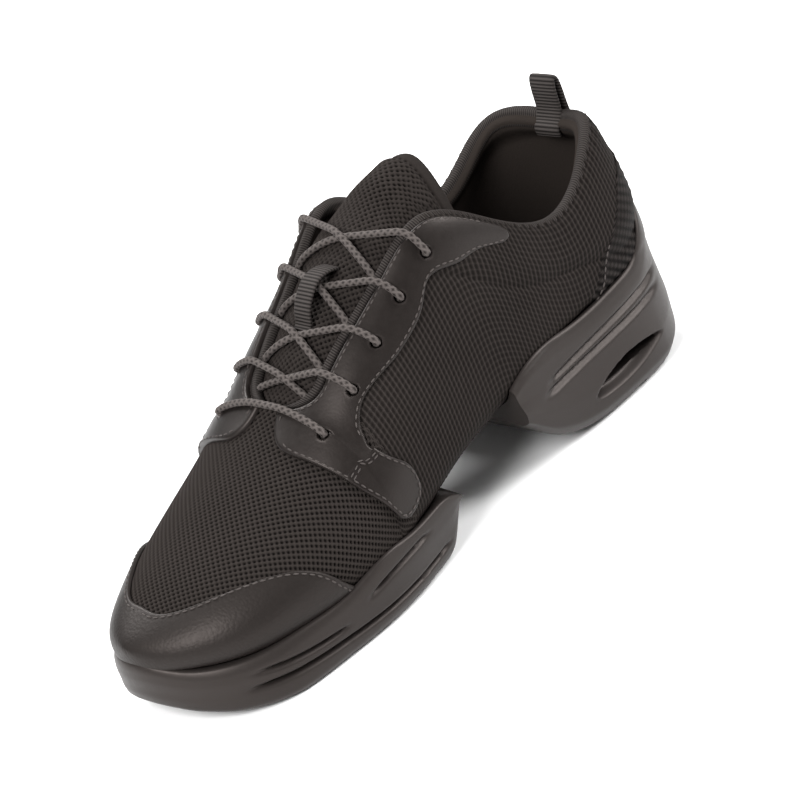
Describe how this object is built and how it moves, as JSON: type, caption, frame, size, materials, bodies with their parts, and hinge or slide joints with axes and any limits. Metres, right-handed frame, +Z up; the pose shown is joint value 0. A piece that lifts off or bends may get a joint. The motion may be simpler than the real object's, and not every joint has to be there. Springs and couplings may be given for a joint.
{
  "type": "dance sneaker",
  "caption": "Left low-cut dance sneaker with a split sole, padded collar, laced throat, toe cap and heel pull loop.",
  "frame": {"origin": "middle of the footprint box, on the floor", "axes": "+X to the heel, +Y to the inner (medial) side, +Z up; the toe is at -X"},
  "size_m": [0.2646, 0.0937, 0.1164],
  "materials": {
    "knit_fabric": "matte",
    "toe_cap_leather": "satin",
    "leather": "satin",
    "lining_cloth": "matte",
    "sole_rubber": "satin",
    "lace_cord": "matte",
    "webbing": "matte"
  },
  "bodies": {
    "root": {"upper": "knit_fabric", "toe_cap": "toe_cap_leather", "eyestay_lateral": "leather", "eyestay_medial": "leather", "tongue": "lining_cloth", "insole": "lining_cloth", "forefoot_sole": "sole_rubber", "heel_sole": "sole_rubber", "lace_bar": "lace_cord", "lace_cross_1": "lace_cord", "lace_cross_2": "lace_cord", "lace_cross_3": "lace_cord", "lace_cross_4": "lace_cord", "lace_keeper": "webbing", "pull_loop": "webbing"}
  },
  "joints": []
}
